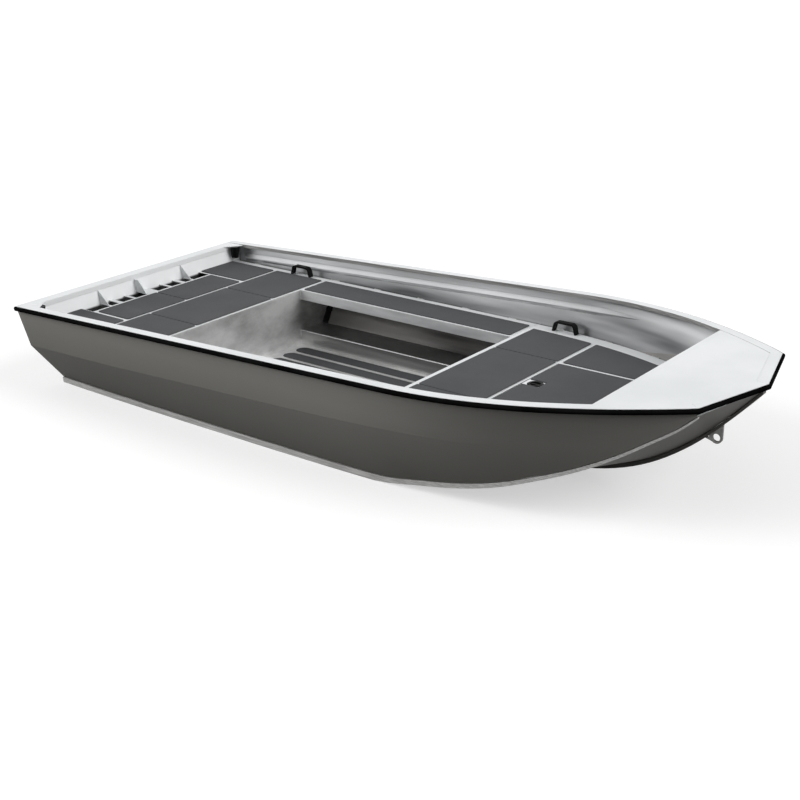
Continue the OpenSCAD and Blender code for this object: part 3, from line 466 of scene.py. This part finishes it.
rubber, tree, shader, coords = material("rubber", 0.0, 0.0)
cloud = noise(tree, coords, (1, 1, 1), 6.0)
grain = noise(tree, coords, (1, 1, 1), 1200, 2.0)
tree.links.new(ramp(tree, cloud, (0.003, 0.003, 0.003), (0.007, 0.007, 0.007)), shader.inputs["Base Color"])
tree.links.new(spread(tree, cloud, 0.5, 0.66), shader.inputs["Roughness"])
tree.links.new(bump(tree, grain, 0.00004), shader.inputs["Normal"])

RUBBER_CREASE = 60

for name in ("rubber_port", "rubber_starboard", "rubber_bow"):
    soften(name, 0, RUBBER_CREASE)
    dress(name, rubber)

# Inside metalwork: brackets, bulkheads, side boxes, hatch gutter and the pressed floor.
# Bare rolled sheet, sheared, folded and stitched to the hull with short welds. The side boxes
# are darker in clouds, painted shade and painted reflections.

bare_sheet, tree, shader, coords = material("bare_sheet", 0.6)
cloud = noise(tree, coords, (0.8, 1, 1.8), 2.6, 5.0, 0.6)
streak = noise(tree, coords, (4, 320, 320), 1.0, 4.0, 0.6)
tint = ramp(tree, cloud, (0.36, 0.360, 0.358), (0.90, 0.90, 0.895), 0.34, 0.62)
tree.links.new(tint, shader.inputs["Base Color"])
tree.links.new(spread(tree, cloud, 0.44, 0.28), shader.inputs["Roughness"])
wave = bump(tree, cloud, 0.008)
tree.links.new(bump(tree, streak, 0.00006, wave), shader.inputs["Normal"])

# Painted shade and painted reflections: the side boxes take a darker, more metallic copy of the inner
# sheet.
BOX_SHADE_DARK = (0.24, 0.238, 0.235)
BOX_SHADE_PALE = (0.80, 0.795, 0.785)
SHEET_EDGE = 0.0006

box_shade_sheet = rolled_skin("box_shade_sheet", BOX_SHADE_DARK, BOX_SHADE_PALE, LOCKER_SHIFT)

for name in ("deck_brackets", "aft_bulkhead", "floor_plate", "front_bulkhead", "bow_bulkhead",
             "hatch_frame"):
    soften(name, SHEET_EDGE)
    dress(name, bare_sheet)
for name in ("side_box_port", "side_box_starboard"):
    soften(name, SHEET_EDGE)
    dress(name, box_shade_sheet)

# Side ledges: a rib pressed out of the hull side below the gunwale to stiffen it.
# It is the same sheet, with a painted highlight along its crest, run out to a point beside the hatch.

RIB_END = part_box("side_ledges")[1][0]
RIB_FADE = 0.22

rib_sheet, tree, shader, coords = material("rib_sheet", 0.8, 0.4)
cloud = noise(tree, coords, STAIN_AND_REFLECTION_STRETCH, 1.5, 2.5, 0.5, STAIN_AND_REFLECTION_SHIFT)
streak = noise(tree, coords, (3, 260, 260), 1.0, 4.0, 0.6)
stain_and_reflection = ramp(tree, cloud, STAIN_AND_REFLECTION_DARK, STAIN_AND_REFLECTION_PALE, 0.32, 0.70)
# Painted highlight: the crest is painted lighter than the wall and fades into the wall's tone towards the
# rib's forward end.
painted_crest_highlight = ramp(tree, cloud, (0.46, 0.466, 0.472), (0.74, 0.75, 0.76))
split = tree.nodes.new("ShaderNodeSeparateXYZ")
tree.links.new(coords, split.inputs["Vector"])
fade = tree.nodes.new("ShaderNodeMix")
fade.data_type = "RGBA"
forward = spread(tree, split.outputs["X"], 0.0, 1.0, RIB_END - RIB_FADE, RIB_END)
tree.links.new(forward, fade.inputs["Factor"])
tree.links.new(painted_crest_highlight, fade.inputs["A"])
tree.links.new(stain_and_reflection, fade.inputs["B"])
tree.links.new(fade.outputs["Result"], shader.inputs["Base Color"])
tree.links.new(spread(tree, streak, 0.30, 0.42), shader.inputs["Roughness"])
tree.links.new(bump(tree, streak, 0.00005), shader.inputs["Normal"])

RING_REACH = 0.02
TAPER_RINGS = 5
TAPER_END = 0.12

ledges = bpy.data.objects.new("side_ribs", nodes["side_ledges"].data.copy())
bpy.context.collection.objects.link(ledges)
only(ledges)
bpy.ops.object.mode_set(mode="EDIT")
bpy.ops.mesh.select_mode(type="VERT")
bpy.ops.mesh.select_all(action="SELECT")
bpy.ops.mesh.remove_doubles(threshold=MERGE_GAP)
bpy.ops.mesh.select_all(action="DESELECT")
bpy.ops.object.mode_set(mode="OBJECT")
for side in (-1, 1):
    rings = []
    half = [vertex for vertex in ledges.data.vertices if vertex.co.y * side > 0]
    for vertex in sorted(half, key=lambda v: v.co.x):
        if rings and vertex.co.x - rings[-1][0].co.x < RING_REACH:
            rings[-1].append(vertex)
        else:
            rings.append([vertex])
    tapered = []
    for ring in rings[-TAPER_RINGS:]:
        back = sorted(ring, key=lambda v: v.co.z)
        tapered.append(({v.index for v in ring}, (back[0].co + back[-1].co) / 2))
    for step, (ring, middle) in enumerate(tapered):
        for vertex in ledges.data.vertices:
            vertex.select = vertex.index in ring
        size = 1 - (1 - TAPER_END) * (step + 1) / TAPER_RINGS
        bpy.ops.object.mode_set(mode="EDIT")
        bpy.ops.transform.resize(value=(1, size, size), center_override=middle)
        bpy.ops.mesh.select_all(action="DESELECT")
        bpy.ops.object.mode_set(mode="OBJECT")
bpy.ops.mesh.customdata_custom_splitnormals_clear()
bpy.ops.object.shade_smooth_by_angle(angle=math.radians(60))
ledges.data.materials.clear()
ledges.data.materials.append(rib_sheet)
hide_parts("side_ledges")
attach(ledges, "hull")

# Decks, benches and hatch lid: folded sheet laid on the brackets. Their tops are coated
# white like the rails, the folded lips are brushed and the undersides are left bare.

satin_sheet, tree, shader, coords = material("satin_sheet", 0.45, 0.4)
cloud = noise(tree, coords, (1.2, 6, 6), 3.0, 3.0, 0.5)
streak = noise(tree, coords, (5, 300, 300), 1.0, 4.0, 0.6)
tree.links.new(ramp(tree, cloud, (0.42, 0.426, 0.432), (0.60, 0.606, 0.612)), shader.inputs["Base Color"])
tree.links.new(spread(tree, streak, 0.36, 0.50), shader.inputs["Roughness"])
tree.links.new(bump(tree, streak, 0.00005), shader.inputs["Normal"])

for name in ("aft_deck", "front_deck", "bench_port", "bench_starboard", "hatch_lid"):
    obj = soften(name, SHEET_EDGE)
    dress(name, white_coat, satin_sheet, bare_sheet)
    for face in obj.data.polygons:
        face.material_index = 0 if face.normal.z > FACING else 2 if face.normal.z < -FACING else 1

# Cockpit welds: bright uncoated beads along the top edge of the side boxes and up the corners
# where the boxes and the bench edges meet the aft bulkhead.

bright_weld, tree, shader, coords = material("bright_weld", 0.5, 0.4)
cloud = noise(tree, coords, (1, 1, 1), 90.0)
tree.links.new(ramp(tree, cloud, (0.55, 0.55, 0.55), (0.80, 0.80, 0.80)), shader.inputs["Base Color"])
tree.links.new(spread(tree, cloud, 0.30, 0.46), shader.inputs["Roughness"])
tree.links.new(bump(tree, cloud, 0.0002), shader.inputs["Normal"])

CORNER_BEAD = 0.008
EDGE_BEAD = 0.006

wall_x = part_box("aft_bulkhead")[1][0]
for side_name, side in (("port", 1), ("starboard", -1)):
    box_low, box_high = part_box("side_box_" + side_name)
    lip_low, lip_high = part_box("bench_" + side_name)
    box_in = min(abs(box_low[1]), abs(box_high[1]))
    lip_in = min(abs(lip_low[1]), abs(lip_high[1]))
    foot = (wall_x, side * box_in, box_low[2])
    shoulder = (wall_x, side * box_in, box_high[2])
    front = (box_high[0], side * box_in, box_high[2])
    weld_bead("box_weld_" + side_name, foot, shoulder,
              CORNER_BEAD, bright_weld, (1, -side, 0))
    weld_bead("edge_weld_" + side_name, shoulder, front,
              EDGE_BEAD, bright_weld, (0, -side, 1))
    foot = (wall_x, side * lip_in, lip_low[2])
    shoulder = (wall_x, side * lip_in, lip_high[2])
    weld_bead("bench_weld_" + side_name, foot, shoulder,
              CORNER_BEAD, bright_weld, (1, -side, 0))

# Deck mats: die cut foam sheet, glued down, with a fine closed cell skin.
# The tread strips in the floor channels are cut from the same sheet.

foam, tree, shader, coords = material("foam", 0.0, 0.2)
cloud = noise(tree, coords, (1, 1, 1), 4.0)
cells = noise(tree, coords, (1, 1, 1), 650, 3.0, 0.7)
tree.links.new(ramp(tree, cells, (0.060, 0.062, 0.065), (0.084, 0.086, 0.090)), shader.inputs["Base Color"])
tree.links.new(spread(tree, cloud, 0.72, 0.88), shader.inputs["Roughness"])
tree.links.new(bump(tree, cells, 0.0002), shader.inputs["Normal"])

FOAM_EDGE = 0.001

for name in ("aft_mats", "bench_mats", "front_mats", "hatch_mat", "floor_mats"):
    soften(name, FOAM_EDGE)
    dress(name, foam)

# Grab handles, corner sockets and the latch dish: moulded black nylon with a fine grain.
# The handles and sockets are screwed up from below.

black, tree, shader, coords = material("black_moulding", 0.0, 0.08)
grain = noise(tree, coords, (1, 1, 1), 1500, 2.0)
cloud = noise(tree, coords, (1, 1, 1), 9.0)
tree.links.new(ramp(tree, cloud, (0.004, 0.004, 0.004), (0.009, 0.009, 0.009)), shader.inputs["Base Color"])
tree.links.new(spread(tree, cloud, 0.36, 0.5), shader.inputs["Roughness"])
tree.links.new(bump(tree, grain, 0.00005), shader.inputs["Normal"])

MOULDED_EDGE = 0.0015

for name in ("corner_sockets", "grab_handles", "hatch_latch"):
    soften(name, MOULDED_EDGE)
    dress(name, black)

# Locker straps: flat black webbing against the hull side, woven in fine ribs across its
# width and darker between the ribs.

webbing, tree, shader, coords = material("webbing", 0.0, 0.15)
shader.inputs["Roughness"].default_value = 0.85
ribs = tree.nodes.new("ShaderNodeTexWave")
ribs.bands_direction = "Z"
ribs.inputs["Scale"].default_value = 130
ribs.inputs["Distortion"].default_value = 0.6
tree.links.new(coords, ribs.inputs["Vector"])
tint = ramp(tree, ribs.outputs["Fac"], (0.004, 0.004, 0.004), (0.016, 0.016, 0.017))
tree.links.new(tint, shader.inputs["Base Color"])
tree.links.new(bump(tree, ribs.outputs["Fac"], 0.0004), shader.inputs["Normal"])

STRAP_EDGE = 0.0008

soften("locker_straps", STRAP_EDGE)
dress("locker_straps", webbing)

# Hinges and bow eye: stainless leaves and barrels brushed along the pin, and a thick plate
# eye welded under the stem, dulled by weather.

steel, tree, shader, coords = material("steel", 1.0)
streak = noise(tree, coords, (300, 8, 300), 1.0, 3.0)
tree.links.new(ramp(tree, streak, (0.42, 0.42, 0.41), (0.56, 0.56, 0.55)), shader.inputs["Base Color"])
tree.links.new(spread(tree, streak, 0.24, 0.38), shader.inputs["Roughness"])
tree.links.new(bump(tree, streak, 0.00003), shader.inputs["Normal"])

dull_plate, tree, shader, coords = material("dull_plate", 0.6, 0.3)
cloud = noise(tree, coords, (1, 1, 1), 40.0)
tree.links.new(ramp(tree, cloud, (0.10, 0.099, 0.096), (0.24, 0.238, 0.232)), shader.inputs["Base Color"])
tree.links.new(spread(tree, cloud, 0.34, 0.5), shader.inputs["Roughness"])
tree.links.new(bump(tree, cloud, 0.0002), shader.inputs["Normal"])

EYE_EDGE = 0.0012

for name in ("hinge_fixed", "hinge_leaf"):
    soften(name, SHEET_EDGE)
    dress(name, steel)
soften("bow_eye", EYE_EDGE)
dress("bow_eye", dull_plate)

eye = [vertex.co for vertex in nodes["bow_eye"].data.vertices]
eye_low, eye_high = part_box("bow_eye")
heel = max(co.z for co in eye if co.x < eye_low[0] + NEAR)
head = max(co.z for co in eye if co.x > eye_high[0] - NEAR)
for name, y, side in (("eye_weld_port", eye_high[1], 1), ("eye_weld_starboard", eye_low[1], -1)):
    weld_bead(name, (eye_low[0], y, heel), (eye_high[0], y, head),
              FOOT_BEAD, hull_paint, (0, side, -1))

# Hinge screws: countersunk stainless heads with a hexagon socket, three to a leaf.
# The row on the lid turns with the hatch.

SCREW_R = 0.0042
SCREW_H = 0.0012
RIM_IN = 0.0007
RIM_UP = 0.0003
SOCKET_IN = 0.0016
SOCKET_DEEP = 0.0009
LEAF_T = 0.003
LEAF_MID = 0.025
SCREW_STEP = 0.03
HINGE_Y = 0.17

pin = Vector(frame["record"]["behaviour"]["joints"][0]["pos_m"])
leaf_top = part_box("hinge_fixed")[0][2] + LEAF_T


def screw_row(name, x, body):
    bpy.ops.object.select_all(action="DESELECT")
    bpy.ops.mesh.primitive_cylinder_add(vertices=24, radius=SCREW_R, depth=SCREW_H)
    head = bpy.context.object
    bpy.ops.object.mode_set(mode="EDIT")
    bpy.ops.mesh.select_mode(type="FACE")
    bpy.ops.mesh.select_all(action="DESELECT")
    bpy.ops.object.mode_set(mode="OBJECT")
    for face in head.data.polygons:
        face.select = face.normal.z > 0.9
    bpy.ops.object.mode_set(mode="EDIT")
    bpy.ops.mesh.inset(thickness=RIM_IN)
    bpy.ops.transform.translate(value=(0, 0, RIM_UP))
    bpy.ops.mesh.inset(thickness=SOCKET_IN)
    bpy.ops.mesh.extrude_region_move(TRANSFORM_OT_translate={"value": (0, 0, -SOCKET_DEEP)})
    bpy.ops.object.mode_set(mode="OBJECT")
    copies = []
    for side in (-1, 1):
        for step in (-1, 0, 1):
            copy = head.copy()
            copy.data = head.data.copy()
            bpy.context.collection.objects.link(copy)
            copy.location = (x, side * HINGE_Y + step * SCREW_STEP, leaf_top)
            copies.append(copy)
    bpy.data.objects.remove(head)
    bpy.ops.object.select_all(action="DESELECT")
    for copy in copies:
        copy.select_set(True)
    bpy.context.view_layer.objects.active = copies[0]
    bpy.ops.object.join()
    bpy.ops.object.transform_apply(location=True, rotation=True, scale=True)
    bpy.ops.object.shade_smooth_by_angle(angle=math.radians(30))
    row = bpy.context.object
    row.name = name
    row.data.materials.clear()
    row.data.materials.append(steel)
    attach(row, body)


screw_row("hinge_screws_deck", pin.x + LEAF_MID, "hull")
screw_row("hinge_screws_lid", pin.x - LEAF_MID, "hatch")

# Latch collar: a thin black ring moulded in nylon, pressed round the latch dish where it
# goes through the hatch lid.

COLLAR_R = 0.0356
COLLAR_H = 0.0018
COLLAR_T = 0.0030
COLLAR_UP = 0.0002
COLLAR_EDGE = 0.0005

latch_low, latch_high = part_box("hatch_latch")
lid_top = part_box("hatch_lid")[1][2]
bpy.ops.object.select_all(action="DESELECT")
bpy.ops.mesh.primitive_cylinder_add(
    vertices=64, radius=COLLAR_R, depth=COLLAR_H, end_fill_type="NOTHING",
    location=((latch_low[0] + latch_high[0]) / 2, 0, lid_top + COLLAR_H / 2 + COLLAR_UP))
collar = bpy.context.object
collar.name = "latch_collar"
wall = collar.modifiers.new("wall", "SOLIDIFY")
wall.thickness = COLLAR_T
wall.offset = -1
bpy.ops.object.modifier_apply(modifier="wall")
edge = collar.modifiers.new("edge", "BEVEL")
edge.width = COLLAR_EDGE
edge.segments = 2
bpy.ops.object.modifier_apply(modifier="edge")
bpy.ops.object.transform_apply(location=True, rotation=True, scale=True)
bpy.ops.object.shade_smooth_by_angle(angle=math.radians(40))
collar.data.materials.append(black)
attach(collar, "hatch")

# Studio: a pale floor that is white to the camera but for the boat's shadow and dull to bounced
# light, a white sky for eye and mirror that is brighter to the left for all else, a broad key
# lamp ahead of the bow and a low fill lamp off the starboard quarter.

LEFT = Vector((-0.804, -0.595, 0.0))
SKY_DIM = (0.03, 0.03, 0.03)
SKY_BRIGHT = (0.68, 0.68, 0.68)


def seen(tree):
    path = tree.nodes.new("ShaderNodeLightPath")
    first = tree.nodes.new("ShaderNodeMath")
    first.operation = "MAXIMUM"
    second = tree.nodes.new("ShaderNodeMath")
    second.operation = "MAXIMUM"
    tree.links.new(path.outputs["Is Camera Ray"], first.inputs[0])
    tree.links.new(path.outputs["Is Glossy Ray"], first.inputs[1])
    tree.links.new(first.outputs["Value"], second.inputs[0])
    tree.links.new(path.outputs["Is Transmission Ray"], second.inputs[1])
    return second.outputs["Value"]


bpy.ops.object.select_all(action="DESELECT")
bpy.ops.mesh.primitive_plane_add(size=60, location=(0, 0, 0))
floor = bpy.context.object
floor.name = "floor"
ground, tree, shader, coords = material("ground", 0.0, 0.0)
shader.inputs["Roughness"].default_value = 0.9
shader.inputs["Base Color"].default_value = (0.52, 0.52, 0.52, 1)
shader.inputs["Emission Color"].default_value = (1, 1, 1, 1)
shader.inputs["Emission Strength"].default_value = 0.55
dull = tree.nodes.new("ShaderNodeBsdfDiffuse")
dull.inputs["Color"].default_value = (0.05, 0.05, 0.05, 1)
mix = tree.nodes.new("ShaderNodeMixShader")
tree.links.new(seen(tree), mix.inputs["Fac"])
tree.links.new(dull.outputs["BSDF"], mix.inputs[1])
tree.links.new(shader.outputs["BSDF"], mix.inputs[2])
tree.links.new(mix.outputs["Shader"], tree.nodes["Material Output"].inputs["Surface"])
floor.data.materials.append(ground)
floor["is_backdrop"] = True

world = bpy.data.worlds.new("studio")
bpy.context.scene.world = world
world.use_nodes = True
tree = world.node_tree
sky = tree.nodes["Background"]
coords = tree.nodes.new("ShaderNodeTexCoord").outputs["Generated"]
toward = tree.nodes.new("ShaderNodeVectorMath")
toward.operation = "DOT_PRODUCT"
toward.inputs[1].default_value = LEFT
tree.links.new(coords, toward.inputs[0])
share = spread(tree, toward.outputs["Value"], 0.0, 1.0, -1.0, 1.0)
shade = ramp(tree, share, SKY_DIM, SKY_BRIGHT, 0.0, 1.0)
tree.links.new(shade, sky.inputs["Color"])
sky.inputs["Strength"].default_value = 1.0
plain = tree.nodes.new("ShaderNodeBackground")
plain.inputs["Color"].default_value = (1, 1, 1, 1)
plain.inputs["Strength"].default_value = 1.0
mix = tree.nodes.new("ShaderNodeMixShader")
tree.links.new(seen(tree), mix.inputs["Fac"])
tree.links.new(sky.outputs["Background"], mix.inputs[1])
tree.links.new(plain.outputs["Background"], mix.inputs[2])
tree.links.new(mix.outputs["Shader"], tree.nodes["World Output"].inputs["Surface"])


def lamp(name, toward, strength, spread_deg, shiny):
    bpy.ops.object.light_add(type="SUN", location=(0, 0, 4))
    obj = bpy.context.object
    obj.name = name
    obj.data.energy = strength
    obj.data.angle = math.radians(spread_deg)
    obj.rotation_euler = Vector(toward).to_track_quat("Z", "Y").to_euler()
    obj.visible_glossy = shiny


lamp("key", (0.79, 0.25, 0.58), 2.1, 40, True)
lamp("fill", (LEFT.x, LEFT.y, 0.45), 2.5, 40, False)

# Camera at the photo's place: high off the starboard bow.

CAMERA_AT = (3.664295, -4.979, 2.4547)
CAMERA_DIP = math.radians(20.87)
CAMERA_TURN = math.radians(36.51)
CAMERA_LENS = 66.22
CAMERA_SENSOR = 36

bpy.ops.object.camera_add(location=CAMERA_AT, rotation=(math.pi / 2 - CAMERA_DIP, 0, CAMERA_TURN))
camera = bpy.context.object
camera.data.lens = CAMERA_LENS
camera.data.sensor_width = CAMERA_SENSOR
bpy.context.scene.camera = camera

scene = bpy.context.scene
scene.view_settings.view_transform = "Standard"

low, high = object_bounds()
